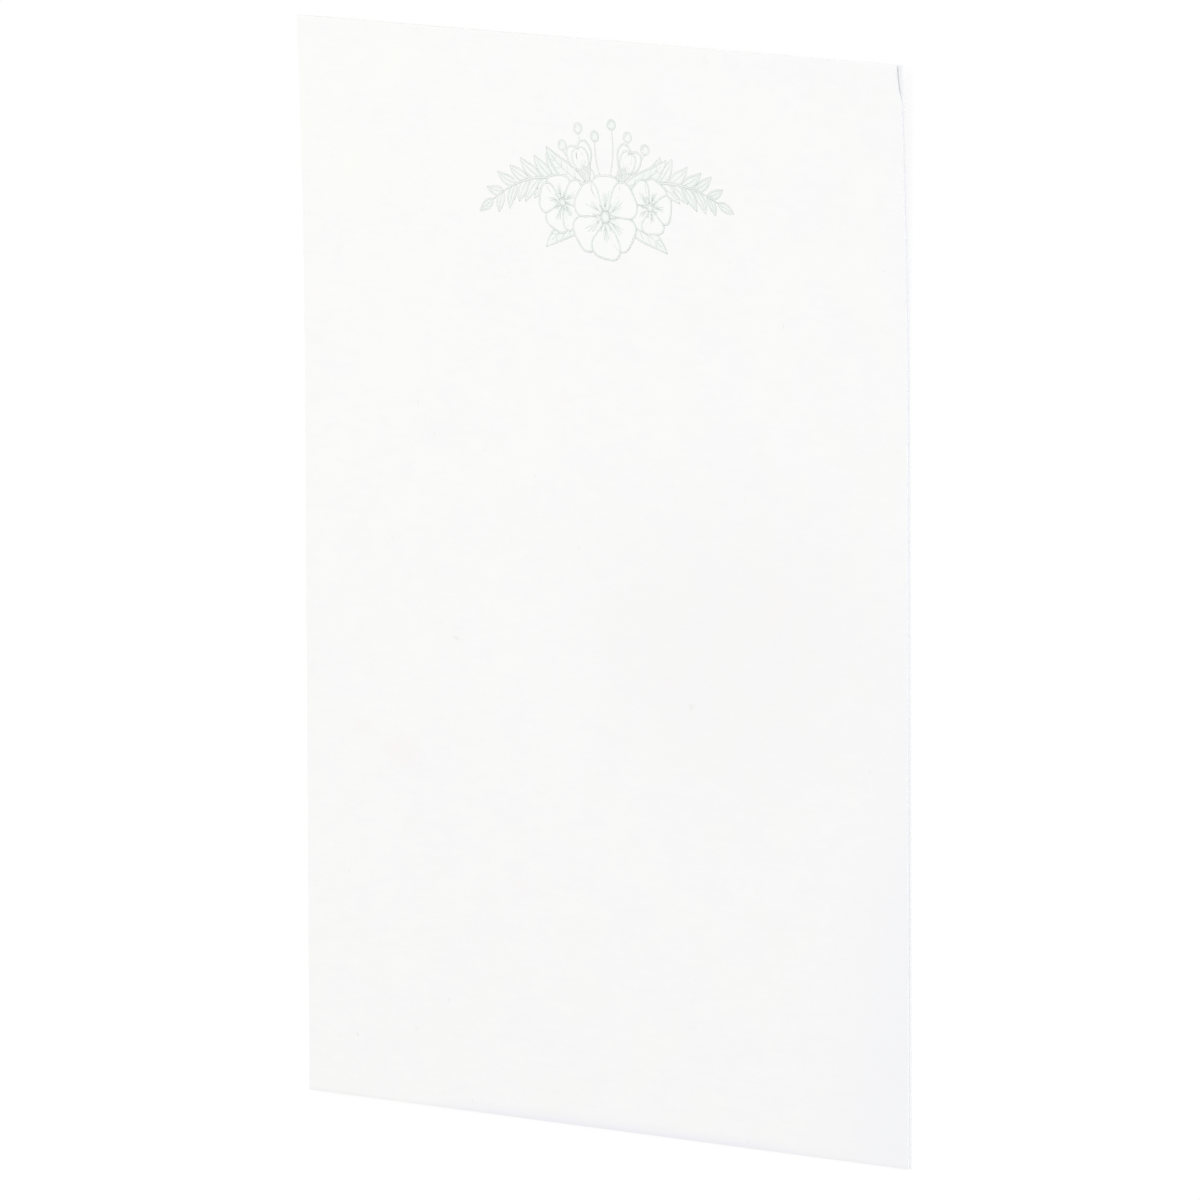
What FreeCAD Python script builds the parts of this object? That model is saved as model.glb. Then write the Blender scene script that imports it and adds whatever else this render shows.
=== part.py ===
"""A folded greeting card, lying closed on its back leaf.

One sheet of heavy paper is folded once along its left long edge. The back leaf lies flat, the fold is a
half turn of small radius, and the front leaf leaves it at a small angle, because folded card springs open a
little. Towards the top both leaves curl gently upwards together.

Frame: +X from the fold to the free edges, +Y to the top of the card, +Z up, with the origin under the middle.
Lengths are in millimetres and angles in degrees.
"""

import FreeCAD, Part
import math
import os

import Sketcher

# Driving dimensions: alias, value and what it measures.
DIMENSIONS = [
    ("card_width", 127.0, "width of the folded card, from the fold to the back leaf's free edge"),
    ("card_height", 177.8, "length of the sheet from its bottom edge to its top edge, along the paper"),
    ("paper_thickness", 0.4, "thickness of the heavy paper"),
    ("fold_inner_radius", 0.2, "radius on the inside of the fold"),
    ("leaf_opening", 0.1, "angle at which the front leaf springs away from the back leaf"),
    ("front_leaf_inset", 0.2, "how much shorter the front leaf is than the back leaf at the free edge"),
    ("curl_length", 62.0, "length of paper at the top that curls upwards"),
    ("curl_radius", 1200.0, "radius of that curl, on the underside of the back leaf"),
]

# How a sketch names the points of a line or arc, its own origin point and its horizontal axis.
START = 1
END = 2
CENTRE = 3
ORIGIN = (-1, 1)
X_AXIS = -1


def make_sizes(doc):
    """Write the driving dimensions to a spreadsheet, one named cell each."""
    sizes = doc.addObject("Spreadsheet::Sheet", "Sizes")
    for row, (alias, value, meaning) in enumerate(DIMENSIONS, start=1):
        sizes.set(f"A{row}", alias)
        sizes.set(f"B{row}", str(value))
        sizes.setAlias(f"B{row}", alias)
        sizes.set(f"C{row}", meaning)
    doc.recompute()
    return sizes


def origin_plane(body, role):
    """Return one of the body's own origin planes."""
    return next(feature for feature in body.Origin.OriginFeatures if feature.Role == role)


def bind(sketch, name, expression, *constraint):
    """Add a named size to the sketch and tie it to the spreadsheet."""
    index = sketch.addConstraint(Sketcher.Constraint(*constraint))
    sketch.renameConstraint(index, name)
    sketch.setExpression(f"Constraints.{name}", expression)


def draw_section(sketch, sizes):
    """Draw the folded sheet's outline, seen from its bottom edge, and the axis that its top curls about."""
    thickness = sizes.paper_thickness
    inner = sizes.fold_inner_radius
    outer = inner + thickness
    half_width = sizes.card_width / 2
    opening = math.radians(sizes.leaf_opening)
    front_length = sizes.card_width - outer - sizes.front_leaf_inset
    centre = FreeCAD.Vector(outer - half_width, outer, 0)
    down = FreeCAD.Vector(0, -1, 0)
    along = FreeCAD.Vector(math.cos(opening), math.sin(opening), 0)
    across = FreeCAD.Vector(-math.sin(opening), math.cos(opening), 0)
    back_low = FreeCAD.Vector(half_width, 0, 0)
    back_high = FreeCAD.Vector(half_width, thickness, 0)
    front_start = centre + across * inner
    front_tip = front_start + along * front_length

    def line(first, last, construction=False):
        return sketch.addGeometry(Part.LineSegment(first, last), construction)

    def fold_arc(radius):
        circle = Part.Circle(centre, FreeCAD.Vector(0, 0, 1), radius)
        return sketch.addGeometry(Part.ArcOfCircle(circle, math.pi / 2 + opening, 3 * math.pi / 2), False)

    back_under = line(centre + down * outer, back_low)
    back_cut = line(back_low, back_high)
    back_inside = line(back_high, centre + down * inner)
    fold_inside = fold_arc(inner)
    front_inside = line(front_start, front_tip)
    front_cut = line(front_tip, front_tip + across * thickness)
    front_face = line(front_tip + across * thickness, centre + across * outer)
    fold_outside = fold_arc(outer)
    curl_axis = line(FreeCAD.Vector(centre.x, sizes.curl_radius, 0),
                     FreeCAD.Vector(half_width, sizes.curl_radius, 0), construction=True)

    rules = [
        ("Coincident", back_under, END, back_cut, START),
        ("Coincident", back_cut, END, back_inside, START),
        ("Tangent", back_inside, END, fold_inside, END),
        ("Tangent", fold_inside, START, front_inside, START),
        ("Coincident", front_inside, END, front_cut, START),
        ("Coincident", front_cut, END, front_face, START),
        ("Tangent", front_face, END, fold_outside, START),
        ("Tangent", fold_outside, END, back_under, START),
        ("Coincident", fold_inside, CENTRE, fold_outside, CENTRE),
        ("Horizontal", back_under),
        ("Horizontal", back_inside),
        ("Vertical", back_cut),
        ("Parallel", front_inside, front_face),
        ("Perpendicular", front_inside, front_cut),
        ("PointOnObject", back_under, END, X_AXIS),
        ("Horizontal", curl_axis),
        ("Vertical", curl_axis, START, fold_outside, CENTRE),
        ("Vertical", curl_axis, END, back_under, END),
    ]
    for rule in rules:
        sketch.addConstraint(Sketcher.Constraint(*rule))

    bind(sketch, "thickness", "Sizes.paper_thickness",
         "DistanceY", back_cut, START, back_cut, END, thickness)
    bind(sketch, "inside_radius", "Sizes.fold_inner_radius",
         "Radius", fold_inside, inner)
    bind(sketch, "half_width", "Sizes.card_width / 2",
         "DistanceX", *ORIGIN, back_under, END, half_width)
    bind(sketch, "fold_centre", "Sizes.card_width / 2 - Sizes.paper_thickness - Sizes.fold_inner_radius",
         "DistanceX", fold_outside, CENTRE, *ORIGIN, half_width - outer)
    bind(sketch, "opening", "Sizes.leaf_opening * 1 deg",
         "Angle", front_inside, opening)
    bind(sketch, "front_length",
         "Sizes.card_width - Sizes.paper_thickness - Sizes.fold_inner_radius - Sizes.front_leaf_inset",
         "Distance", front_inside, front_length)
    bind(sketch, "curl_axis_height", "Sizes.curl_radius",
         "DistanceY", *ORIGIN, curl_axis, START, sizes.curl_radius)


def make_card(doc, sizes):
    """Extrude the section over the flat part of the card and turn it about a far axis over the curled part."""
    body = doc.addObject("PartDesign::Body", "Card")
    body.Label = "card"

    flat_length = "(Sizes.card_height - Sizes.curl_length)"
    curl_angle = "(Sizes.curl_length / Sizes.curl_radius * 1 rad)"
    curl_reach = f"(Sizes.curl_radius * sin({curl_angle}))"

    # The section faces -Y and stands where the curl begins, so that the whole card is centred on the origin.
    section = body.newObject("Sketcher::SketchObject", "Section")
    section.AttachmentSupport = [(origin_plane(body, "XZ_Plane"), "")]
    section.MapMode = "FlatFace"
    draw_section(section, sizes)
    section.setExpression("AttachmentOffset.Base.z", f"-({flat_length} - {curl_reach}) / 2")

    flat_part = body.newObject("PartDesign::Pad", "FlatPart")
    flat_part.Profile = section
    flat_part.setExpression("Length", flat_length)

    curled_top = body.newObject("PartDesign::Revolution", "CurledTop")
    curled_top.Profile = section
    curled_top.ReferenceAxis = (section, ["Axis0"])
    curled_top.setExpression("Angle", curl_angle)

    body.Placement = FreeCAD.Placement()
    doc.recompute()
    return body


def check(doc, body):
    """Stop if any object of the document failed, or if the card isn't one valid solid."""
    for item in doc.Objects:
        if "Invalid" in item.State or "Error" in item.State:
            raise RuntimeError(f"{item.Name} failed: {item.State}")
    shape = body.Shape
    if shape.isNull() or not shape.isValid() or len(shape.Solids) != 1:
        raise RuntimeError(f"{body.Label} is not one valid solid")


def main():
    os.makedirs("parts", exist_ok=True)
    doc = FreeCAD.newDocument("greeting_card")
    sizes = make_sizes(doc)
    card = make_card(doc, sizes)
    check(doc, card)
    curl_rise = sizes.curl_radius * (1 - math.cos(sizes.curl_length / sizes.curl_radius))
    print(f"{card.Label}: volume {card.Shape.Volume:.1f} mm3, top edge rises {curl_rise:.2f} mm")
    card.Shape.exportStep(f"parts/{card.Label}.step")


main()
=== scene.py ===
# %% [markdown]
# # A folded greeting card
#
# This lesson dresses one small object: a greeting card of heavy white paper, folded once along its left edge
# and lying closed, with a pale green flower spray printed near the top of its front. The solid model of the
# card is loaded first as a fixed frame. Everything that is made here takes its size and place from it.

import math
import random

import bmesh
import bpy
from mathutils import Matrix, Vector


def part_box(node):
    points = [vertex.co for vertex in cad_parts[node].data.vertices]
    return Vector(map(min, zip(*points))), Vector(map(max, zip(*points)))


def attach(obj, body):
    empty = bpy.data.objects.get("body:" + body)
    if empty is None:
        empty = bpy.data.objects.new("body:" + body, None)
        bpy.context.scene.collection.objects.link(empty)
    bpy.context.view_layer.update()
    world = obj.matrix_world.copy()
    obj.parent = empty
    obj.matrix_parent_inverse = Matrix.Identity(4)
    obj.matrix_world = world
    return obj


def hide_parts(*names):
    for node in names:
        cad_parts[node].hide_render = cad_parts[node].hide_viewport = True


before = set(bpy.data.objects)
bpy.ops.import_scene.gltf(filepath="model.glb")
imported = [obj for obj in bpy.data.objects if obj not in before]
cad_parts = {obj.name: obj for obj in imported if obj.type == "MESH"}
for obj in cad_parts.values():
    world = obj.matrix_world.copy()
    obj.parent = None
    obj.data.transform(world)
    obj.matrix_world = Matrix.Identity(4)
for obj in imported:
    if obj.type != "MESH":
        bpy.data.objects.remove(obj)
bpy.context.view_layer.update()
card_low, card_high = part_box("card")
print("card from", [round(value * 1000, 2) for value in card_low], "to",
      [round(value * 1000, 2) for value in card_high], "mm")

# %% [markdown]
# ## The sizes of the sheet
#
# A card has few sizes, and all of them matter: the thickness of its paper, how tightly it is folded, how far
# the front leaf springs open, and the stretch at the top that curls up. They are written once, in metres, and
# the places that follow from them are worked out from the box of the solid card.

# %% Sizes of the sheet, in metres and radians
PAPER = 0.0004
FOLD_RADIUS = 0.0002
LEAF_OPENING = math.radians(-0.176)
FRONT_INSET = 0.00005
CURL_LENGTH = 0.062
CURL_RADIUS = 1.2
CURL_ROW = 0.002

outer_fold = FOLD_RADIUS + PAPER
fold_x = card_low.x + outer_fold
fold_z = card_low.z + outer_fold
curl_angle = CURL_LENGTH / CURL_RADIUS
curl_start = card_high.y - CURL_RADIUS * math.sin(curl_angle)
paper_top = curl_start + CURL_LENGTH
front_length = card_high.x - fold_x - FRONT_INSET
print("the curl starts at y", round(curl_start * 1000, 2), "mm and turns",
      round(math.degrees(curl_angle), 2), "degrees")

# %% [markdown]
# ## The camera
#
# The card is seen from above and from the right, far away through a long lens, so that its long edges stay
# nearly parallel. The aim point, the two angles, the distance and a slight roll give the whole placement. The
# camera's axes are built from them, with the top of the card up in the picture.

# %% Camera
CAMERA_AIM = Vector((-0.00124, -0.00247, 0))
CAMERA_DISTANCE = 2.917
CAMERA_HEIGHT_ANGLE = math.radians(49.24)
CAMERA_SIDE_ANGLE = math.radians(11.97)
CAMERA_ROLL = math.radians(0.22)
CAMERA_LENS = 541.2

back = Vector((math.cos(CAMERA_HEIGHT_ANGLE) * math.cos(CAMERA_SIDE_ANGLE),
               math.cos(CAMERA_HEIGHT_ANGLE) * math.sin(CAMERA_SIDE_ANGLE),
               math.sin(CAMERA_HEIGHT_ANGLE)))
right = Vector((0, 1, 0)).cross(back).normalized()
up = back.cross(right)
rolled_up = up * math.cos(CAMERA_ROLL) + right * math.sin(CAMERA_ROLL)
rolled_right = rolled_up.cross(back)
turn = Matrix((rolled_right, rolled_up, back)).transposed()

bpy.ops.object.camera_add(location=CAMERA_AIM + back * CAMERA_DISTANCE, rotation=turn.to_euler())
camera = bpy.context.object
camera.data.lens = CAMERA_LENS
camera.data.clip_end = CAMERA_DISTANCE * 4
bpy.context.scene.camera = camera
bpy.context.scene.view_settings.view_transform = "Standard"
print("camera at", [round(value, 3) for value in camera.location])

# %% [markdown]
# ## Working like a modeller, from a script
#
# Edit mode operators act on whatever is selected. These helpers clear the selection, pick points by their
# place, and hand the active mesh back and forth, so that the cells below read like the steps of a modeller.


# %% Helpers for selecting and finishing
def begin(piece):
    """Make one object active and open it in edit mode with nothing selected."""
    bpy.ops.object.select_all(action="DESELECT")
    piece.select_set(True)
    bpy.context.view_layer.objects.active = piece
    bpy.ops.object.mode_set(mode="EDIT")
    bpy.ops.mesh.select_all(action="DESELECT")


def select_points(test):
    """Select the vertices whose place passes the test, with the edges and faces between them."""
    bpy.ops.mesh.select_all(action="DESELECT")
    mesh = bmesh.from_edit_mesh(bpy.context.object.data)
    for vertex in mesh.verts:
        if test(vertex.co):
            vertex.select = True
    mesh.select_flush(True)
    bmesh.update_edit_mesh(bpy.context.object.data)


def cut_across(place, normal):
    """Cut the whole mesh along a plane, keeping both sides."""
    bpy.ops.mesh.select_all(action="SELECT")
    bpy.ops.mesh.bisect(plane_co=place, plane_no=normal)


def apply_modifiers(piece):
    """Apply the modifiers in their order."""
    bpy.ops.object.select_all(action="DESELECT")
    piece.select_set(True)
    bpy.context.view_layer.objects.active = piece
    for modifier in list(piece.modifiers):
        bpy.ops.object.modifier_apply(modifier=modifier.name)


def triangles(piece):
    """Count the triangles of a mesh."""
    return sum(len(face.vertices) - 2 for face in piece.data.polygons)


# %% [markdown]
# ## The folded sheet
#
# The real card is one sheet. So is its mesh: a plane becomes the back leaf, its left edge is spun half a turn
# about the fold's centre, and the edge that comes out of the fold is extruded into the front leaf. This makes
# the middle of the paper. A Solidify modifier gives it the paper's thickness later, on both sides alike.

# %% Back leaf, fold and front leaf
FOLD_STEPS = 12
NEAR = 0.00002

bpy.ops.object.select_all(action="DESELECT")
bpy.ops.mesh.primitive_plane_add(size=1)
card = bpy.context.object
card.name = "folded_card"
begin(card)
bpy.ops.mesh.select_all(action="SELECT")
bpy.ops.transform.resize(value=(card_high.x - fold_x, paper_top - card_low.y, 1), center_override=(0, 0, 0))
bpy.ops.transform.translate(value=((card_high.x + fold_x) / 2, (paper_top + card_low.y) / 2, PAPER / 2))
select_points(lambda place: place.x < fold_x + NEAR)
bpy.ops.mesh.spin(steps=FOLD_STEPS, angle=LEAF_OPENING - math.pi,
                  center=(fold_x, 0, fold_z), axis=(0, 1, 0))
front_step = Vector((math.cos(LEAF_OPENING), 0, math.sin(LEAF_OPENING))) * front_length
bpy.ops.mesh.extrude_region_move(TRANSFORM_OT_translate={"value": front_step})
print("sheet of", len(bmesh.from_edit_mesh(card.data).faces), "faces")

# %% [markdown]
# A cut sheet's corners are never quite needle sharp: a guillotine and a few hands take the very tip off. Each
# of the four free corners is rounded by a fraction of a millimetre while the sheet is still flat.

# %% Round the free corners
CORNER_RADIUS = 0.00025
CORNER_STEPS = 3

free_x = fold_x + front_length / 2
select_points(lambda place: place.x > free_x)
bpy.ops.mesh.bevel(affect="VERTICES", offset=CORNER_RADIUS, segments=CORNER_STEPS)
print("corners rounded, now", len(bmesh.from_edit_mesh(card.data).verts), "points")

# %% [markdown]
# ## Rows and columns
#
# The sheet can only bend where it has points. It is cut across into rows and along into columns, and the
# rows of the part that curls are kept in a list, because the print has to bend at exactly the same places.
# One more row or column lies close to each cut edge, so that the smooth shading of the rim doesn't spread
# over the face.

# %% Cut the sheet into rows and columns
GRID_STEP = 0.004
EDGE_ROW = 0.0004
BOTTOM_ROW = 0.0008
CORNER_COLUMNS = [EDGE_ROW, 0.0012, 0.0025]


def stations(start, end, step):
    """Even places from just after start to just before end."""
    count = round((end - start) / step)
    return [start + (end - start) * index / count for index in range(1, count)]


curl_rows = [curl_start] + stations(curl_start, paper_top, CURL_ROW)
for y in stations(card_low.y, curl_start, GRID_STEP) + curl_rows:
    cut_across((0, y, 0), (0, 1, 0))
for y in (card_low.y + BOTTOM_ROW, paper_top - EDGE_ROW):
    cut_across((0, y, 0), (0, 1, 0))
corner_columns = [fold_x + front_length - step for step in CORNER_COLUMNS]
for x in stations(fold_x, card_high.x, GRID_STEP) + corner_columns:
    cut_across((x, 0, 0), (1, 0, 0))
bpy.ops.object.mode_set(mode="OBJECT")
print("grid of", len(card.data.polygons), "faces")

# %% [markdown]
# ## How the front leaf lies
#
# A front leaf never lies perfectly even on the back leaf. Here it nearly touches along the upper part of the
# free edge, opens a little towards the bottom, and its worn top right corner stands up and back, so that a
# sliver of the back leaf shows beside it. Proportional editing does this while the sheet is still flat: one
# point of the front leaf is moved, and its neighbours follow, less and less.

# %% Ease the front leaf at its free edge
# Each entry gives how far below the top edge, the move in X and in Z, how far it reaches and how it fades.
FREE_EDGE_MOVES = [
    (0.0, -0.0008, 0.00004, 0.0054, "SPHERE"),
    (0.128, 0.0, 0.00003, 0.040, "SMOOTH"),
]

free_edge_x = fold_x + front_length - 2 * CORNER_RADIUS
for below_top, shift, lift, reach, fading in FREE_EDGE_MOVES:
    begin(card)
    mesh = bmesh.from_edit_mesh(card.data)
    front_edge = [vertex for vertex in mesh.verts if vertex.co.x > free_edge_x and vertex.co.z > PAPER]
    target_y = paper_top - below_top
    nearest = min(front_edge, key=lambda vertex: abs(vertex.co.y - target_y))
    nearest.select = True
    mesh.select_flush(True)
    bpy.ops.transform.translate(value=(shift, 0, lift), use_proportional_edit=True,
                                use_proportional_connected=True, proportional_edit_falloff=fading,
                                proportional_size=reach)
    bpy.ops.object.mode_set(mode="OBJECT")
    print("front leaf eased", round(below_top * 1000), "mm below the top by", round(lift * 1000, 2), "mm")

# %% [markdown]
# ## Curling the top
#
# Paper bends in one direction at a time, so the curl is part of a cylinder. It is made as one would roll a
# blind: from the top row down, everything beyond a row is turned by the same small angle about that row. The
# rows below are still flat when their turn comes. The same function bends the print later.


# %% Curl the top of a piece
def curl_top(piece, cut_first):
    """Turn everything beyond each row of the curl about that row, from the top row down."""
    begin(piece)
    if cut_first:
        for y in curl_rows:
            cut_across((0, y, 0), (0, 1, 0))
    step = curl_angle / len(curl_rows)
    for y in reversed(curl_rows):
        select_points(lambda place: place.y > y + NEAR)
        bpy.ops.transform.rotate(value=-step, orient_axis="X", center_override=(0, y, 0))
    bpy.ops.object.mode_set(mode="OBJECT")


curl_top(card, cut_first=False)
print("top edge at z", round(max(vertex.co.z for vertex in card.data.vertices) * 1000, 2), "mm")

# %% [markdown]
# ## Thickness and cut edges
#
# Solidify grows the sheet to the paper's thickness, half to each side, and gives the cut rim a material slot
# of its own, because a cut edge shows the paper's fibres. A very small bevel takes the hard line off the rim.

# %% Give the paper its thickness
RIM_BEVEL = 0.000025
RIM_ANGLE = math.radians(50)
SMOOTH_ANGLE = math.radians(35)

begin(card)
bpy.ops.mesh.select_all(action="SELECT")
bpy.ops.mesh.remove_doubles(threshold=NEAR / 10)
bpy.ops.mesh.normals_make_consistent(inside=False)
bpy.ops.object.mode_set(mode="OBJECT")

solidify = card.modifiers.new("thickness", "SOLIDIFY")
solidify.thickness = PAPER
solidify.offset = 0
solidify.use_even_offset = True
solidify.material_offset_rim = 1
bevel = card.modifiers.new("soft_rim", "BEVEL")
bevel.width = RIM_BEVEL
bevel.segments = 2
bevel.limit_method = "ANGLE"
bevel.angle_limit = RIM_ANGLE
bpy.data.materials.new("card_paper")
bpy.data.materials.new("cut_edge")
card.data.materials.append(bpy.data.materials["card_paper"])
card.data.materials.append(bpy.data.materials["cut_edge"])
apply_modifiers(card)
bpy.ops.object.shade_smooth_by_angle(angle=SMOOTH_ANGLE)
print("card of", triangles(card), "triangles")

# %% [markdown]
# ## The print
#
# The print is a line drawing with a pale wash: a spray of three open blossoms, two buds, leafy sprigs to
# both sides and a few berries. Lines this fine would blur in any painted texture, so they are modelled as
# ribbons of ink that lie a few hundredths of a millimetre high. First comes a pen: it collects strokes and
# washes, each on a layer of its own, and a higher layer hides what it covers, as it does for an illustrator.

# %% A pen that draws on the flat sheet, in millimetres
SPRAY_CENTRE = (1.5, 25.0)
LINE_WIDTH = 0.30
LAYER_STEP = 0.003
LINE_TAPER = 0.55
WOBBLE = 0.035
WOBBLE_WAVES = 7
DENT_START = 0.84

chance = random.Random(4)
strokes = []
washes = []
petal_fills = []


def point_on(curve, share):
    """A point on a cubic curve, at a share of its way from 0 to 1."""
    a, b, c, d = (Vector(point) for point in curve)
    rest = 1 - share
    return a * rest ** 3 + b * (3 * rest * rest * share) + c * (3 * rest * share * share) + d * share ** 3


def heading(curve, share):
    """The direction of a cubic curve at a share of its way."""
    small = 0.01
    return (point_on(curve, min(share + small, 1)) - point_on(curve, max(share - small, 0))).normalized()


def bow(start, end, bend):
    """A cubic curve from start to end that bows sideways by a share of its length."""
    start, end = Vector(start), Vector(end)
    along = end - start
    side = Vector((-along.y, along.x)) * bend
    return [start, start + along / 3 + side, end - along / 3 + side, end]


def trace(curve, steps=14, last=1.0):
    """Evenly spaced points along a cubic curve."""
    return [point_on(curve, last * index / steps) for index in range(steps + 1)]


def turned(way, angle):
    """A direction turned to the left by an angle."""
    return Vector((way.x * math.cos(angle) - way.y * math.sin(angle),
                   way.x * math.sin(angle) + way.y * math.cos(angle)))


def stroke(points, layer, width=1.0, taper=True, closed=False):
    """Draw one line of ink, thinner at both ends; width is a share of the usual line."""
    strokes.append({"points": points, "layer": layer + 0.5, "width": width,
                    "taper": taper, "closed": closed})


def fill(place_list, outline, layer):
    """Lay down one flat area of wash or of petal."""
    place_list.append({"outline": outline, "layer": layer})


# %% [markdown]
# Leaves and petals are the same kind of shape: a centre line with a width to each side that grows and shrinks
# along it. Where the width peaks and how round its ends are make the difference between a lance-shaped leaf
# and a broad petal, a dent at the tip makes a petal heart-shaped, and a slight wobble makes it drawn by hand.


# %% The outline of a leaf or petal
def blade_edges(curve, width, peak, roundness, dent=0.0, steps=18):
    """The two sides of a leaf or petal, from root to tip."""
    power = math.log(0.5) / math.log(peak)
    phases = [chance.uniform(0, 2 * math.pi), chance.uniform(0, 2 * math.pi)]
    sides = [[], []]
    for index in range(steps + 1):
        share = index / steps
        reach = share - dent * max(0.0, (share - DENT_START) / (1 - DENT_START)) ** 2
        centre = point_on(curve, reach)
        along = heading(curve, reach)
        half = width / 2 * max(0.0, math.sin(math.pi * share ** power)) ** roundness
        for edge, sign, phase in zip(sides, (1, -1), phases):
            wave = 1 + WOBBLE * math.sin(phase + WOBBLE_WAVES * share)
            edge.append(centre + Vector((-along.y, along.x)) * half * wave * sign)
    return sides


def outline_of(sides):
    """One closed outline from the two sides."""
    return sides[0] + sides[1][-2:0:-1]


# %% Leaves
MIDRIB_LINE = 0.7
FINE_LINE = 0.5
LEAF_PEAK = 0.42
LEAF_ROUNDNESS = 0.9
MIDRIB_END = 0.86
FIRST_VEIN = 0.20
VEIN_SPAN = 0.52
VEIN_REACH = 0.72


def leaf(root, tip, width, bend, layer, veins=4):
    """A pointed leaf with a washed blade, a midrib and side veins."""
    curve = bow(root, tip, bend)
    sides = blade_edges(curve, width, LEAF_PEAK, LEAF_ROUNDNESS)
    fill(washes, outline_of(sides), layer)
    stroke(sides[0], layer)
    stroke(sides[1], layer)
    stroke(trace(curve, last=MIDRIB_END), layer, width=MIDRIB_LINE)
    for index in range(veins):
        share = FIRST_VEIN + VEIN_SPAN * index / max(veins - 1, 1)
        start = point_on(curve, share)
        along = heading(curve, share)
        half = width / 2 * math.sin(math.pi * share ** 0.8) * VEIN_REACH
        for sign in (1, -1):
            side = Vector((-along.y, along.x)) * sign * half
            stroke([start, start + along * half * 0.5 + side * 0.55, start + along * half * 1.1 + side],
                   layer, width=FINE_LINE)


# %% Petals
PETAL_PEAK = 0.64
PETAL_ROUNDNESS = 0.55
THROAT_WIDTH = 0.34
VEIN_FAN = 0.24


def petal(root, tip, width, bend, layer, dent, veins):
    """A broad pale petal, with a little wash and a few fine lines at its root."""
    curve = bow(root, tip, bend)
    sides = blade_edges(curve, width, PETAL_PEAK, PETAL_ROUNDNESS, dent)
    fill(petal_fills, outline_of(sides), layer)
    stroke(sides[0] + sides[1][-2::-1], layer)
    length = (Vector(tip) - Vector(root)).length
    throat = bow(root, point_on(curve, chance.uniform(0.42, 0.52)), bend)
    throat_sides = blade_edges(throat, width * THROAT_WIDTH, 0.5, 0.8, steps=8)
    fill(washes, outline_of(throat_sides), layer + 0.25)
    for index in range(veins):
        lean = (index - (veins - 1) / 2) * VEIN_FAN
        start = point_on(curve, 0.12)
        way = turned(heading(curve, 0.1), lean)
        reach = length * chance.uniform(0.30, 0.48)
        stroke([start, start + way * reach * 0.5, start + way * reach], layer, width=FINE_LINE)


# %% [markdown]
# The other motifs are small. A berry is a ring with a short arc inside it. A bud is three petals that rise
# from a cup of sepals. A sprig is a bowed stem with pairs of leaves that shrink towards its tip. A blossom is
# a wheel of petals around a ring of stamens.


# %% Berries and buds
def ring(centre, radius, layer, width=1.0, steps=16):
    """A closed round line."""
    points = [Vector(centre) + turned(Vector((radius, 0)), 2 * math.pi * index / steps)
              for index in range(steps)]
    stroke(points, layer, width=width, taper=False, closed=True)
    return points


def berry(centre, radius, layer):
    """A round berry with a washed face and a short arc of light."""
    fill(washes, ring(centre, radius, layer), layer)
    start = Vector((radius * 0.55, 0))
    arc = [Vector(centre) + turned(start, math.radians(110 + 16 * index)) for index in range(6)]
    stroke(arc, layer, width=FINE_LINE)


def bud(root, way, size, layer):
    """A half-open bud: two petals behind, one in front, in a cup of three sepals."""
    root, way = Vector(root), Vector(way).normalized()
    side = Vector((-way.y, way.x))
    for sign in (1, -1):
        tip = root + way * size + side * size * 0.34 * sign
        petal(root, tip, size * 0.52, -0.10 * sign, layer, dent=0.0, veins=1)
    petal(root, root + way * size * 0.96, size * 0.56, 0.0, layer + 1, dent=0.05, veins=3)
    for depth, sign in enumerate((1, -1, 0)):
        tip = root + way * size * (0.42 - 0.06 * abs(sign)) + side * size * 0.26 * sign
        leaf(root - way * size * 0.08, tip, size * 0.17, -0.18 * sign, layer + 2 + depth, veins=0)


# %% Sprigs and blossoms
def sprig(stem, pairs, length, width, layer):
    """A bowed stem with leaves in pairs that shrink towards the tip, and one leaf at its end."""
    stroke(trace(stem, steps=24), layer + 2, width=1.1)
    for index in range(pairs):
        share = 0.30 + 0.60 * index / (pairs - 1)
        root = point_on(stem, share)
        scale = 1 - 0.45 * index / pairs
        for sign in (1, -1):
            way = turned(heading(stem, share), math.radians(chance.uniform(36, 48)) * sign)
            tip = root + way * length * scale * chance.uniform(0.92, 1.08)
            leaf(root, tip, width * scale, -0.10 * sign, layer + index % 2, veins=0)
    tip = point_on(stem, 1.0)
    leaf(tip, tip + heading(stem, 1.0) * length * 0.60, width * 0.60, 0.0, layer, veins=0)


def blossom(centre, petal_count, radius, first_angle, layer):
    """A wheel of petals, every second one in front, with a ring of stamens in the middle."""
    centre = Vector(centre)
    for index in range(petal_count):
        depth = 2 if petal_count % 2 and index == petal_count - 1 else index % 2
        angle = first_angle + 360 * index / petal_count + chance.uniform(-4, 4)
        way = turned(Vector((1, 0)), math.radians(angle))
        tip = centre + way * radius * chance.uniform(0.95, 1.05)
        width = radius * 4.9 / petal_count
        petal(centre + way * radius * 0.12, tip, width, chance.uniform(-0.05, 0.05), layer + depth,
              dent=0.07, veins=3)
    stamens = petal_count * 2
    for index in range(stamens):
        way = turned(Vector((1, 0)), 2 * math.pi * index / stamens + chance.uniform(-0.1, 0.1))
        reach = radius * chance.uniform(0.22, 0.32)
        stroke([centre + way * radius * 0.11, centre + way * reach], layer + 3, width=FINE_LINE, taper=False)
        ring(centre + way * (reach + 0.13), 0.14, layer + 3, width=0.6, steps=8)
    fill(washes, ring(centre, radius * 0.11, layer + 3), layer + 3)


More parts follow.
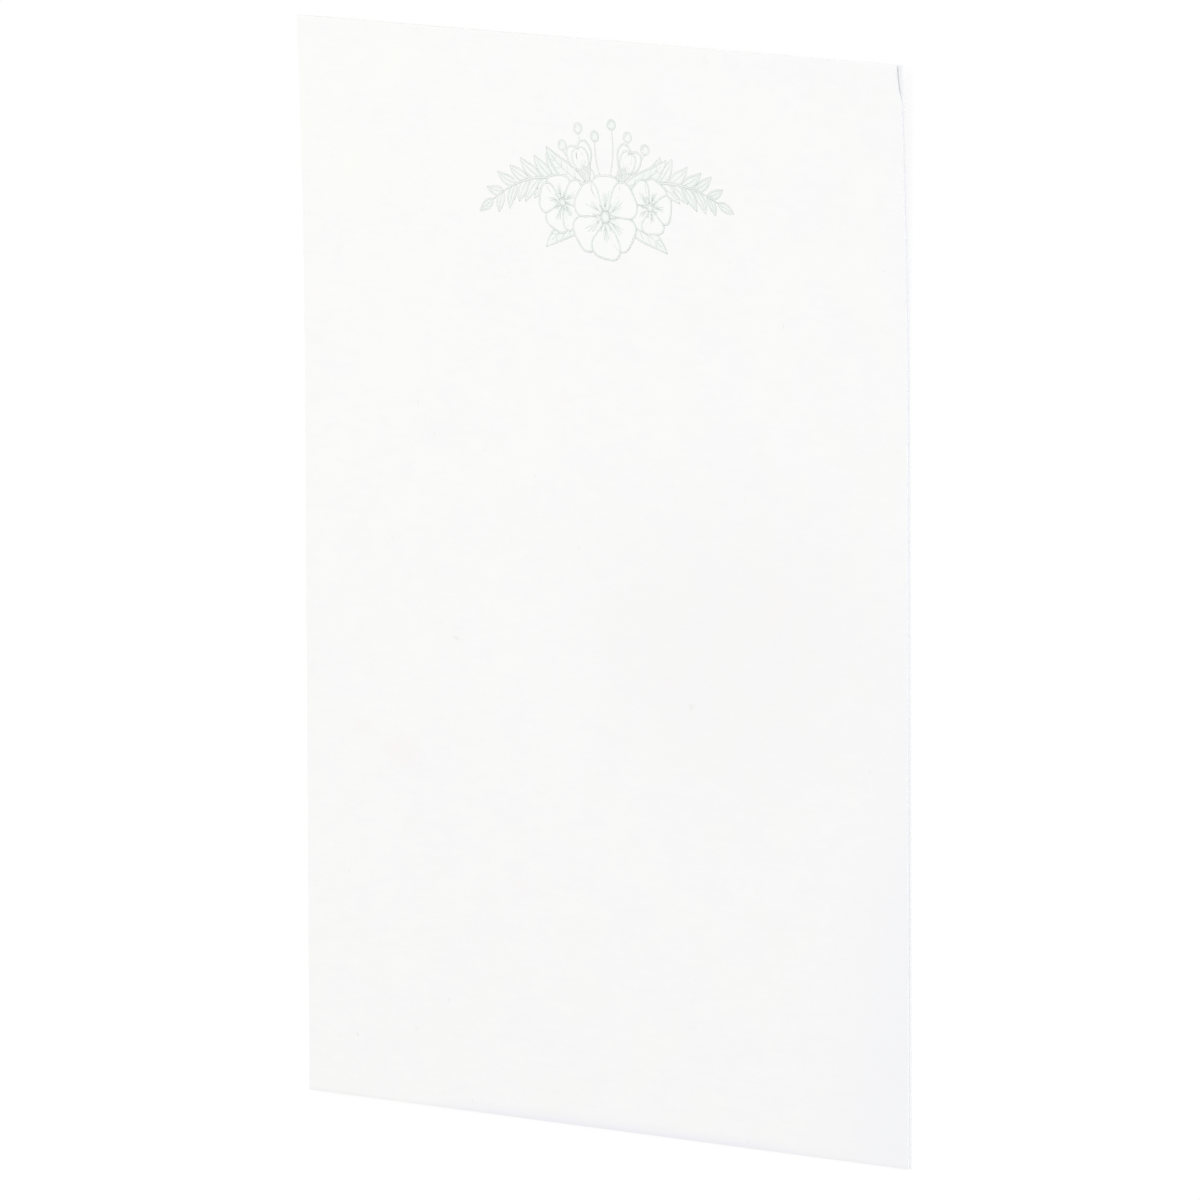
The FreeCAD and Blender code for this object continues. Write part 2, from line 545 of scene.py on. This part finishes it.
# %% [markdown]
# ## Composing the spray
#
# The spray is wide and low, with its weight in the middle: leafy sprigs arch to both sides, berries and buds
# rise above, and three open blossoms sit in front. Places are millimetres from its centre, to the right and
# up. What lies at the back is drawn on the lowest layers.

# %% Compose the spray
BERRIES = [(-8.8, 7.4), (-5.4, 10.4), (-1.9, 9.3), (1.7, 11.4), (5.0, 9.6), (8.6, 7.8)]

for berry_x, berry_y in BERRIES:
    stroke(trace(bow((0.2, 0.5), (berry_x, berry_y - 0.7), 0.10 if berry_x < 0 else -0.10)), 1, width=0.8)
    berry((berry_x, berry_y), 0.8, 1)

sprig([(-2, -1), (-9, 3.0), (-16, 3.2), (-23.6, -2.4)], 6, 6.0, 2.1, 2)
sprig([(2, -1), (9, 3.4), (16, 3.8), (23.6, 0.2)], 6, 6.0, 2.1, 2)

leaf((-3.0, -4.5), (-12.6, -9.4), 3.2, -0.12, 5)
leaf((3.0, -4.5), (12.8, -8.8), 3.2, 0.12, 5)
leaf((-4.0, 1.5), (-12.2, 7.0), 2.9, 0.12, 5)
leaf((4.0, 1.5), (13.0, 6.4), 2.9, -0.12, 5)

bud((-3.6, 2.2), (-0.42, 1.0), 6.0, 6)
bud((3.4, 2.4), (0.48, 1.0), 5.8, 6)

blossom((-9.0, -1.9), 5, 5.0, 100, 10)
blossom((9.4, -1.5), 5, 4.8, 64, 10)
blossom((0.0, -3.7), 6, 7.4, 90, 14)
print(len(strokes), "strokes,", len(washes), "washes and", len(petal_fills), "petals")

# %% [markdown]
# ## From strokes to ribbons
#
# Each stroke becomes a spline of one curve object whose round bevel is the pen's nib. Turned into a mesh and
# pressed flat, the round line is a ribbon of ink. Its end caps are sewn to it first, so that every ribbon is
# closed. The heights are stretched beforehand by as much as the pressing flattens them, so that each stroke
# ends on its own layer.

# %% Make the ink ribbons
FLATTEN = 0.010
NIB_STEPS = 1
CAP_SEAM = 0.0000002


def sheet_place(point):
    """From millimetres about the spray's centre to metres on the flat sheet."""
    return (SPRAY_CENTRE[0] + point[0]) / 1000, paper_top + (point[1] - SPRAY_CENTRE[1]) / 1000


def layer_height(layer):
    """How high a layer of the print stands on the paper, in metres."""
    return layer * LAYER_STEP / 1000


ink_curve = bpy.data.curves.new("flower_lines", "CURVE")
ink_curve.dimensions = "3D"
ink_curve.bevel_depth = LINE_WIDTH / 2000
ink_curve.bevel_resolution = NIB_STEPS
ink_curve.use_fill_caps = True
for line in strokes:
    points = line["points"]
    spline = ink_curve.splines.new("POLY")
    spline.points.add(len(points) - 1)
    spline.use_cyclic_u = line["closed"]
    for index, point in enumerate(points):
        x, y = sheet_place(point)
        share = index / (len(points) - 1)
        end_width = 1 - LINE_TAPER * abs(2 * share - 1) ** 3 if line["taper"] else 1
        spline.points[index].co = (x, y, layer_height(line["layer"]) / FLATTEN, 1)
        spline.points[index].radius = line["width"] * end_width
ink = bpy.data.objects.new("flower_lines", ink_curve)
bpy.context.collection.objects.link(ink)
bpy.ops.object.select_all(action="DESELECT")
ink.select_set(True)
bpy.context.view_layer.objects.active = ink
bpy.ops.object.convert(target="MESH")
ink = bpy.context.object
begin(ink)
bpy.ops.mesh.select_all(action="SELECT")
bpy.ops.mesh.remove_doubles(threshold=CAP_SEAM)
bpy.ops.mesh.normals_make_consistent(inside=False)
bpy.ops.transform.resize(value=(1, 1, FLATTEN), center_override=(0, 0, 0))
bpy.ops.object.mode_set(mode="OBJECT")
print("ink lines of", triangles(ink), "triangles")

# %% [markdown]
# A wash or a petal is a closed outline that is filled and given a little body, from the paper up to its
# layer. Every outline starts as a circle of as many points, which are then moved onto the outline. The face
# is extruded down, so that each fill is a closed plate.


# %% Make the washes and petals
def make_fills(name, areas):
    """Model each outline as a thin closed plate on the flat sheet and join them into one piece."""
    made = []
    for area in areas:
        outline = area["outline"]
        bpy.ops.object.select_all(action="DESELECT")
        bpy.ops.mesh.primitive_circle_add(vertices=len(outline), radius=0.001, fill_type="NGON")
        plate = bpy.context.object
        height = layer_height(area["layer"])
        for vertex, point in zip(plate.data.vertices, outline):
            x, y = sheet_place(point)
            vertex.co = (x, y, height)
        begin(plate)
        bpy.ops.mesh.select_all(action="SELECT")
        down = -height - LAYER_STEP / 2000
        bpy.ops.mesh.extrude_region_move(TRANSFORM_OT_translate={"value": (0, 0, down)})
        bpy.ops.mesh.select_all(action="SELECT")
        bpy.ops.mesh.normals_make_consistent(inside=False)
        bpy.ops.object.mode_set(mode="OBJECT")
        made.append(plate)
    for plate in made:
        plate.select_set(True)
    bpy.context.view_layer.objects.active = made[0]
    bpy.ops.object.join()
    made[0].name = name
    return made[0]


wash = make_fills("leaf_wash", washes)
petals = make_fills("petal_fill", petal_fills)
print("washes of", triangles(wash), "and petals of", triangles(petals), "triangles")

# %% [markdown]
# The print now goes onto the card in the same way as the paper itself was shaped: it is raised onto the front
# leaf, turned with the leaf about the fold, and curled with the top of the sheet, at the same rows.


# %% Lay the print on the card
def lay_on_front(piece):
    """Raise a flat piece onto the front leaf's face, open it with the leaf and curl it with the top."""
    begin(piece)
    bpy.ops.mesh.select_all(action="SELECT")
    bpy.ops.transform.translate(value=(0, 0, fold_z + outer_fold))
    bpy.ops.transform.rotate(value=LEAF_OPENING, orient_axis="Y", center_override=(fold_x, 0, fold_z))
    bpy.ops.object.mode_set(mode="OBJECT")
    curl_top(piece, cut_first=True)


for piece in (ink, wash, petals):
    lay_on_front(piece)
    heights = [vertex.co.z for vertex in piece.data.vertices]
    print(piece.name, "lies at z", round(min(heights) * 1000, 3), "to", round(max(heights) * 1000, 3), "mm")

# %% [markdown]
# ## Writing shader maths as expressions
#
# Node trees are easier to read as formulas. A `Wire` wraps a node's output, and adding or multiplying wires
# makes the Math nodes. Every other node comes from one method, which sets the node up and connects it.


# %% Wires and finishes
class Wire:
    """The output of a node, usable in sums and products."""

    def __init__(self, finish, socket):
        self.finish = finish
        self.socket = socket

    def maths(self, operation, first, second):
        """One Math node on two values."""
        return self.finish.node("ShaderNodeMath", {"operation": operation}, [first, second])

    def __add__(self, other):
        return self.maths("ADD", self, other)

    def __sub__(self, other):
        return self.maths("SUBTRACT", self, other)

    def __rsub__(self, other):
        return self.maths("SUBTRACT", other, self)

    def __mul__(self, other):
        return self.maths("MULTIPLY", self, other)

    __radd__ = __add__
    __rmul__ = __mul__


class Finish:
    """The nodes of one material, around a Principled shader."""

    def __init__(self, name):
        self.material = bpy.data.materials.get(name) or bpy.data.materials.new(name)
        self.material.use_nodes = True
        self.tree = self.material.node_tree
        self.tree.nodes.clear()
        self.output = self.tree.nodes.new("ShaderNodeOutputMaterial")

    def node(self, kind, settings=None, inputs=(), output=0):
        """Make a node, set it up, connect or fill its sockets and return one output."""
        made = self.tree.nodes.new(kind)
        for name, value in (settings or {}).items():
            setattr(made, name, value)
        for key, value in (inputs.items() if isinstance(inputs, dict) else enumerate(inputs)):
            if isinstance(value, Wire):
                self.tree.links.new(value.socket, made.inputs[key])
            else:
                made.inputs[key].default_value = value
        return Wire(self, made.outputs[output])

    def place(self):
        """Coordinates on the object, in metres."""
        return self.node("ShaderNodeTexCoord", output="Object")

    def axis(self, place, index):
        """One coordinate of a place: 0 is across the sheet, 1 along it and 2 up from it."""
        return self.node("ShaderNodeSeparateXYZ", inputs=[place], output=index)

    def noise(self, place, size, detail=2.0, roughness=0.5):
        """Cloudy noise whose features are about as large as size, from 0 to 1."""
        return self.node("ShaderNodeTexNoise", inputs={
            "Vector": place, "Scale": 1 / size, "Detail": detail, "Roughness": roughness})

    def ramp(self, value, low, high):
        """0 below low, 1 above high, and smooth between them."""
        return self.node("ShaderNodeMapRange", {"interpolation_type": "SMOOTHSTEP"},
                         {"Value": value, "From Min": low, "From Max": high})

    def blend(self, share, first, second):
        """A colour between two colours."""
        return self.node("ShaderNodeMix", {"data_type": "RGBA"}, {0: share, 6: first, 7: second}, output=2)

    def stretched(self, place, scale):
        """The same coordinates, stretched by a factor along each axis."""
        return self.node("ShaderNodeMapping", inputs={"Vector": place, "Scale": scale})

    def bump(self, height, depth):
        """A surface normal from a height between 0 and 1 that stands for depth metres."""
        return self.node("ShaderNodeBump", inputs={"Height": height, "Distance": depth, "Strength": 1.0})

    def shade(self, **inputs):
        """Finish the material with a Principled shader."""
        named = {name.replace("_", " "): value for name, value in inputs.items()}
        shader = self.node("ShaderNodeBsdfPrincipled", inputs=named)
        self.tree.links.new(shader.socket, self.output.inputs["Surface"])
        return self.material


def colour(red, green, blue):
    """An opaque colour."""
    return (red, green, blue, 1.0)


# %% [markdown]
# ## Paper
#
# Heavy uncoated paper is matte and nearly white. What makes it paper is small: clouds of slightly denser
# pulp, a felt tooth that runs across the sheet and catches the light, and a few stray fibres. This card has
# also been handled: there are some rosy marks and a few specks on its front. One wide patch is painted
# shade, hardly darker than the rest. Each of these is a spot around a place on the sheet, measured from the
# card's middle, whose rim is broken up by noise.

# %% Marks and painted shade on the paper
# Each mark has its place from the middle of the card, its radius and its strength: millimetres and a share.
ROSY_MARKS = [
    (-50.7, -27.6, 2.8, 0.45),
    (-43.2, -30.4, 4.6, 0.6),
    (-40.2, -31.8, 3.0, 0.25),
    (38.5, -1.5, 8.0, 0.18),
    (36.2, 2.4, 4.0, 0.16),
    (-17.6, -50.6, 2.6, 0.3),
    (-7.6, 30.2, 2.2, 0.25),
    (13.3, -14.2, 2.2, 0.3),
]
SPECKS = [
    (-30.8, -11.2, 0.70, 0.35),
    (18.6, -17.8, 0.90, 0.35),
    (-39.6, -76.3, 0.60, 0.25),
    (23.2, 86.9, 1.20, 0.12),
]
# One wide patch of painted shade, a little darker than the paper around it.
PAINTED_SHADE_PATCHES = [
    (28.0, -6.0, 48.0, 0.5),
]
FRONT_ABOVE = 0.00055
MARK_SQUEEZE = 1.35
MARK_WARP = 0.0026
MARK_GRAIN = 700.0


def marks(finish, place, spots):
    """How much each point of the front lies within the given spots, from 0 to 1: real marks, and painted
    shade.
    """
    drift = finish.node("ShaderNodeTexNoise",
                        inputs={"Vector": place, "Scale": MARK_GRAIN, "Detail": 3.0}, output=1)
    moved = finish.node("ShaderNodeVectorMath", {"operation": "MULTIPLY_ADD"},
                        [drift, (MARK_WARP, MARK_WARP, 0), place])
    flat = finish.node("ShaderNodeVectorMath", {"operation": "MULTIPLY"}, [moved, (1, MARK_SQUEEZE, 0)])
    height = finish.axis(place, 2)
    total = 0.0
    for x, y, radius, strength in spots:
        centre = (x / 1000 + MARK_WARP / 2, (y / 1000 + MARK_WARP / 2) * MARK_SQUEEZE, 0)
        reach = finish.node("ShaderNodeVectorMath", {"operation": "DISTANCE"}, [flat, centre], output=1)
        total = total + (1 - finish.ramp(reach, radius / 4000, radius / 1000)) * strength
    return total * finish.ramp(height, FRONT_ABOVE, FRONT_ABOVE * 1.2)


# %% [markdown]
# At the edges, shade is painted into the paper's colour. The bottom edge has a painted blue-grey shade along
# its middle, the lower free edge has a painted cool shade that widens towards the bottom, and the strip of
# the back leaf that shows beside the worn corner has a painted grey shade. That strip is told from the front
# leaf by its height above the curl.

# %% Painted shades at the edges
# Each pair gives the two ends of a soft change, in metres: from the middle of the card, or up from the curl.
# The first four values place the painted blue-grey shade along the bottom edge, the next four the painted
# cool shade of the lower free edge, and the corner ones the painted grey shade on the back leaf's strip.
BOTTOM_SHADE_ALONG = (-0.0889, -0.0865)
BOTTOM_SHADE_LEFT = (-0.045, -0.015)
BOTTOM_SHADE_RIGHT = (0.025, 0.055)
BOTTOM_SHADE_SHARE = 0.9
COOL_ACROSS = (0.052, 0.073)
COOL_ALONG = (-0.06, 0.02)
COOL_LEAN = 0.15
COOL_SHARE = 0.7
CORNER_ACROSS = (0.0616, 0.0622)
CORNER_ALONG = (0.0836, 0.0846)
BACK_LEAF = (PAPER * 0.5, PAPER * 0.7)
FRONT_LEAF = (0.0005, 0.0006)


def painted_bottom_shade(finish, across, along):
    """The painted blue-grey shade along the middle of the bottom edge."""
    shade = (1 - finish.ramp(along, *BOTTOM_SHADE_ALONG)) * (1 - finish.ramp(across, *BOTTOM_SHADE_RIGHT))
    return shade * finish.ramp(across, *BOTTOM_SHADE_LEFT) * BOTTOM_SHADE_SHARE


def painted_free_edge_shade(finish, across, along):
    """The painted cool shade of the lower free edge."""
    shade = finish.ramp(across - along * COOL_LEAN, *COOL_ACROSS)
    return shade * (1 - finish.ramp(along, *COOL_ALONG)) * COOL_SHARE


def corner_shade(finish, across, along, rise):
    """The painted grey shade on the strip of the back leaf beside the worn corner."""
    beyond = along - curl_start
    above_curl = rise - beyond * beyond * (0.5 / CURL_RADIUS)
    back_leaf = finish.ramp(above_curl, *BACK_LEAF) * (1 - finish.ramp(above_curl, *FRONT_LEAF))
    return back_leaf * finish.ramp(across, *CORNER_ACROSS) * finish.ramp(along, *CORNER_ALONG)


# %% Stray fibres
FIBRE_CELL = 0.011
FIBRE_WARP = 0.003
FIBRE_GRAIN = 250.0
FIBRE_SQUEEZE = (2.2, 1.0, 1.0)
FIBRE_CORE = (0.018, 0.045)
FIBRE_SHARE = 0.55


def fibres(finish, place):
    """Short stray fibres, which are the cores of warped cells."""
    drift = finish.node("ShaderNodeTexNoise", inputs={"Vector": place, "Scale": FIBRE_GRAIN}, output=1)
    warped = finish.node("ShaderNodeVectorMath", {"operation": "MULTIPLY_ADD"},
                         [drift, (FIBRE_WARP, FIBRE_WARP, FIBRE_WARP), place])
    cell = finish.node("ShaderNodeTexVoronoi", {"feature": "F1"},
                       {"Vector": finish.stretched(warped, FIBRE_SQUEEZE), "Scale": 1 / FIBRE_CELL})
    return (1 - finish.ramp(cell, *FIBRE_CORE)) * FIBRE_SHARE


# %% The paper's face
PAPER_WHITE = colour(0.964, 0.9635, 0.968)
PAPER_SHADE = colour(0.941, 0.9405, 0.949)
# A warmer, yellower tone, laid on in cloudy patches towards the top.
WARM_TOP_TONE = colour(0.959, 0.958, 0.944)
# The next three colours are painted shade: blue-grey at the bottom edge, cool at the lower free edge, and
# grey on the strip of the back leaf beside the worn corner.
PAINTED_BOTTOM_SHADE = colour(0.904, 0.900, 0.947)
PAINTED_COOL_SHADE = colour(0.925, 0.928, 0.955)
PAINTED_CORNER_SHADE = colour(0.885, 0.885, 0.890)
# Painted shade for the wide patch.
PAINTED_SHADE_TONE = colour(0.926, 0.926, 0.931)
ROSY_TONE = colour(0.960, 0.915, 0.918)
FIBRE_TONE = colour(0.86, 0.85, 0.83)
SPECK_TONE = colour(0.80, 0.80, 0.79)
PAPER_ROUGHNESS = 0.88
PAPER_SPECULAR = 0.25
PULP_CLOUD = 0.014
WARM_TOP_CLOUD = 0.010
WARM_TOP_RANGE = (0.45, 0.72)
WARM_TOP_ALONG = (-0.04, 0.07)
WARM_TOP_LEAST = 0.25
TOOTH = 0.0016
TOOTH_SQUEEZE = (0.45, 1.0, 1.0)
FINE_TOOTH = 0.0003
TOOTH_DEPTH = 0.00003
TOOTH_SHARES = (0.7, 0.3)
GRAIN_SHARES = (0.36, 0.64)
GRAIN_RANGE = (0.30, 0.70)


def paper_face():
    """The finish of the sheet: its grain, and over it one tone after the other."""
    finish = Finish("card_paper")
    place = finish.place()
    across = finish.axis(place, 0)
    along = finish.axis(place, 1)
    rise = finish.axis(place, 2)
    cloud = finish.noise(place, PULP_CLOUD, detail=4.0, roughness=0.6)
    felt = finish.noise(finish.stretched(place, TOOTH_SQUEEZE), TOOTH, detail=3.0, roughness=0.65)
    fine = finish.noise(place, FINE_TOOTH, detail=2.0)
    # A warmer, yellower tone in cloudy patches, strongest towards the top.
    warm_top = finish.ramp(finish.noise(place, WARM_TOP_CLOUD, detail=2.0), *WARM_TOP_RANGE)
    warm_top = warm_top * (WARM_TOP_LEAST + (1 - WARM_TOP_LEAST) * finish.ramp(along, *WARM_TOP_ALONG))
    grain = cloud * GRAIN_SHARES[0] + felt * GRAIN_SHARES[1]
    tone = finish.blend(finish.ramp(grain, *GRAIN_RANGE), PAPER_WHITE, PAPER_SHADE)
    tone = finish.blend(warm_top, tone, WARM_TOP_TONE)
    # Painted shade: blue-grey along the bottom edge, cool along the lower free edge, grey on the back leaf's
    # strip.
    tone = finish.blend(painted_bottom_shade(finish, across, along), tone, PAINTED_BOTTOM_SHADE)
    tone = finish.blend(painted_free_edge_shade(finish, across, along), tone, PAINTED_COOL_SHADE)
    tone = finish.blend(corner_shade(finish, across, along, rise), tone, PAINTED_CORNER_SHADE)
    # Painted shade: one wide patch a little darker than the rest.
    tone = finish.blend(marks(finish, place, PAINTED_SHADE_PATCHES), tone, PAINTED_SHADE_TONE)
    tone = finish.blend(marks(finish, place, ROSY_MARKS), tone, ROSY_TONE)
    tone = finish.blend(fibres(finish, place), tone, FIBRE_TONE)
    tone = finish.blend(marks(finish, place, SPECKS), tone, SPECK_TONE)
    tooth = felt * TOOTH_SHARES[0] + fine * TOOTH_SHARES[1]
    return finish.shade(Base_Color=tone, Roughness=PAPER_ROUGHNESS, Specular_IOR_Level=PAPER_SPECULAR,
                        Normal=finish.bump(tooth, TOOTH_DEPTH))


paper_face()
print("paper finished with", len(ROSY_MARKS), "rosy marks,", len(SPECKS), "specks and", len(PAINTED_SHADE_PATCHES),
      "dull patch")

# %% [markdown]
# The cut rim shows the sheet from its side: pressed layers of fibre with fine streaks that run along the
# sheet. Its colour is painted paler than the face, as painted light that lifts the shade the narrow rim gets.

# %% The cut edge
# Both tones are painted paler than the face, as painted light on the shaded rim; the streaks are the fibre's
# own.
EDGE_PALE = colour(0.984, 0.984, 0.985)
EDGE_DULL = colour(0.960, 0.960, 0.961)
EDGE_ROUGHNESS = 0.95
EDGE_SPECULAR = 0.2
EDGE_STREAK = 0.0009
EDGE_SQUEEZE = (1.0, 1.0, 9.0)
EDGE_RANGE = (0.35, 0.65)
EDGE_DEPTH = 0.000012


def cut_edge():
    """The finish of the rim: pale fibre in fine streaks."""
    finish = Finish("cut_edge")
    place = finish.place()
    layers = finish.noise(finish.stretched(place, EDGE_SQUEEZE), EDGE_STREAK, detail=3.0, roughness=0.7)
    tone = finish.blend(finish.ramp(layers, *EDGE_RANGE), EDGE_PALE, EDGE_DULL)
    return finish.shade(Base_Color=tone, Roughness=EDGE_ROUGHNESS, Specular_IOR_Level=EDGE_SPECULAR,
                        Normal=finish.bump(layers, EDGE_DEPTH))


cut_edge()
print("cut edge finished")

# %% [markdown]
# ## Ink and wash
#
# The ink is a soft sage green that was printed thinly: it pools a little here and fades there. The wash in
# the leaves is the same green, much diluted. The petals have a hint of it too, and are nearly as pale as the
# paper. All three soak into the sheet, so they stay as matte as the paper, with the same tooth.

# %% Ink, wash and petals
INK_LIGHT = colour(0.896, 0.928, 0.905)
INK_DEEP = colour(0.826, 0.883, 0.845)
WASH_LIGHT = colour(0.930, 0.951, 0.934)
WASH_DEEP = colour(0.900, 0.937, 0.911)
PETAL_WHITE = colour(0.957, 0.967, 0.957)
PETAL_SHADE = colour(0.941, 0.957, 0.945)
INK_POOLS = (0.36, 0.64)
WASH_POOLS = (0.36, 0.66)
PETAL_POOLS = (0.45, 0.75)
POOL = 0.0045
INK_ROUGHNESS = 0.85


def printed(name, light, deep, pools):
    """A matte printed colour that pools unevenly, on the paper's own tooth."""
    finish = Finish(name)
    place = finish.place()
    pool = finish.noise(place, POOL, detail=3.0, roughness=0.6)
    tooth = finish.noise(place, TOOTH, detail=3.0, roughness=0.6)
    tone = finish.blend(finish.ramp(pool, *pools), light, deep)
    return finish.shade(Base_Color=tone, Roughness=INK_ROUGHNESS, Specular_IOR_Level=PAPER_SPECULAR,
                        Normal=finish.bump(tooth, TOOTH_DEPTH))


def dress(piece, material):
    """Give a piece one material all over."""
    piece.data.materials.clear()
    piece.data.materials.append(material)


dress(ink, printed("sage_ink", INK_LIGHT, INK_DEEP, INK_POOLS))
dress(wash, printed("leaf_wash", WASH_LIGHT, WASH_DEEP, WASH_POOLS))
dress(petals, printed("petal_white", PETAL_WHITE, PETAL_SHADE, PETAL_POOLS))
print("print finished")

# %% [markdown]
# ## Floor and light
#
# The card lies on a plain white floor. To the camera the floor adds a little light of its own, which takes it
# to pure white, while its diffuse part still receives the card's soft shadow. A large warm lamp to the upper
# left, a weak cool one to the right and an even sky give the slow change of tone across the sheet.

# %% Floor
FLOOR_SIZE = 8.0
FLOOR_DROP = 0.00005
FLOOR_COLOUR = colour(0.98, 0.98, 0.98)
FLOOR_GLOW = 0.88
FLOOR_GLOW_STRENGTH = 1.02

bpy.ops.object.select_all(action="DESELECT")
bpy.ops.mesh.primitive_plane_add(size=FLOOR_SIZE, location=(0, 0, card_low.z - FLOOR_DROP))
floor = bpy.context.object
floor.name = "floor"
floor_finish = Finish("floor_white")
light_path = floor_finish.tree.nodes.new("ShaderNodeLightPath")
seen = floor_finish.node("ShaderNodeMath", {"operation": "MAXIMUM"}, [
    Wire(floor_finish, light_path.outputs["Is Camera Ray"]),
    floor_finish.node("ShaderNodeMath", {"operation": "MAXIMUM"}, [
        Wire(floor_finish, light_path.outputs["Is Glossy Ray"]),
        Wire(floor_finish, light_path.outputs["Is Transmission Ray"])])])
diffuse = floor_finish.node("ShaderNodeBsdfDiffuse", inputs={"Color": FLOOR_COLOUR})
glow = floor_finish.node("ShaderNodeEmission", inputs={"Strength": FLOOR_GLOW_STRENGTH})
both = floor_finish.node("ShaderNodeMixShader", inputs={0: seen * FLOOR_GLOW, 1: diffuse, 2: glow})
floor_finish.tree.links.new(both.socket, floor_finish.output.inputs["Surface"])
dress(floor, floor_finish.material)

# %% Lamps and sky
KEY_PLACE = (-0.46, 0.58, 1.15)
KEY_POWER = 6.8
KEY_SIZE = 0.8
KEY_COLOUR = (1.0, 0.99, 0.935)
FILL_PLACE = (0.85, -0.05, 0.18)
FILL_POWER = 1.35
FILL_SIZE = 0.36
FILL_COLOUR = (0.86, 0.90, 1.0)
SKY_STRENGTH = 0.692
SKY_COLOUR = colour(0.994, 0.993, 1.0)


def add_lamp(name, place, power, size, tint):
    """An area lamp that faces the card."""
    facing = (-Vector(place)).to_track_quat("-Z", "Y").to_euler()
    bpy.ops.object.light_add(type="AREA", location=place, rotation=facing)
    lamp = bpy.context.object
    lamp.name = name
    lamp.data.energy = power
    lamp.data.size = size
    lamp.data.color = tint


add_lamp("key_lamp", KEY_PLACE, KEY_POWER, KEY_SIZE, KEY_COLOUR)
add_lamp("fill_lamp", FILL_PLACE, FILL_POWER, FILL_SIZE, FILL_COLOUR)

sky = bpy.data.worlds.new("even_sky")
sky.use_nodes = True
sky.node_tree.nodes.clear()
bpy.context.scene.world = sky
sky_nodes = sky.node_tree.nodes
sky_output = sky_nodes.new("ShaderNodeOutputWorld")
sky_light = sky_nodes.new("ShaderNodeBackground")
sky_light.inputs["Color"].default_value = SKY_COLOUR
sky_light.inputs["Strength"].default_value = SKY_STRENGTH
sky_white = sky_nodes.new("ShaderNodeBackground")
sky_white.inputs["Strength"].default_value = 1.0
sky_path = sky_nodes.new("ShaderNodeLightPath")
sky_choice = sky_nodes.new("ShaderNodeMixShader")
sky_seen = []
for step in range(2):
    sky_seen.append(sky_nodes.new("ShaderNodeMath"))
    sky_seen[step].operation = "MAXIMUM"
sky_links = sky.node_tree.links
sky_links.new(sky_path.outputs["Is Camera Ray"], sky_seen[0].inputs[0])
sky_links.new(sky_path.outputs["Is Glossy Ray"], sky_seen[0].inputs[1])
sky_links.new(sky_seen[0].outputs[0], sky_seen[1].inputs[0])
sky_links.new(sky_path.outputs["Is Transmission Ray"], sky_seen[1].inputs[1])
sky_links.new(sky_seen[1].outputs[0], sky_choice.inputs[0])
sky_links.new(sky_light.outputs[0], sky_choice.inputs[1])
sky_links.new(sky_white.outputs[0], sky_choice.inputs[2])
sky_links.new(sky_choice.outputs[0], sky_output.inputs["Surface"])
print("floor, two lamps and sky in place")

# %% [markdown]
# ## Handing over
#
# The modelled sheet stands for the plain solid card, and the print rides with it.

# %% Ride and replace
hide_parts("card")
for piece in (card, ink, wash, petals):
    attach(piece, "root")
